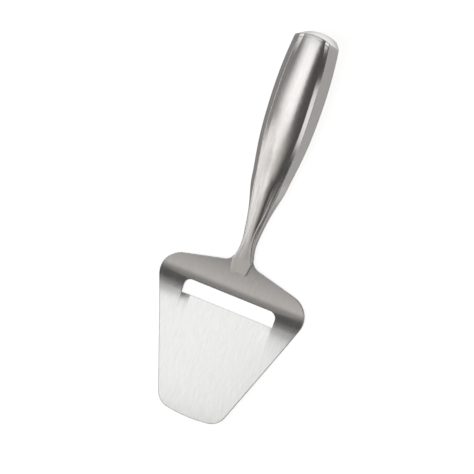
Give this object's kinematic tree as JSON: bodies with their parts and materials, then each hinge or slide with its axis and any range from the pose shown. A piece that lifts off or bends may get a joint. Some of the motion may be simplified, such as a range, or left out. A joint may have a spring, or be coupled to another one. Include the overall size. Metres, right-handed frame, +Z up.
{
  "type": "cheese slicer",
  "caption": "All-steel cheese slicer: tapered blade plate with a raised rear shoulder, a cross slot with a ground cutting edge, and a faceted hollow handle.",
  "frame": {"origin": "centre of the slicer's outline, on the surface it lies on", "axes": "+X from the blade's tip to the handle's butt, +Y across, +Z up; the slicer lies on the start of its bevel and on the handle's belly"},
  "size_m": [0.2308, 0.0886, 0.0201],
  "materials": {
    "blade_steel": "satin stainless sheet, fine brushing along its length, no coating",
    "handle_steel": "satin stainless, fine brushing along the handle, welds ground flush"
  },
  "bodies": {
    "root": {"blade_plate": "blade_steel", "neck": "handle_steel", "handle_upper_shell": "handle_steel", "handle_lower_shell": "handle_steel", "butt_cap": "handle_steel"}
  },
  "joints": []
}
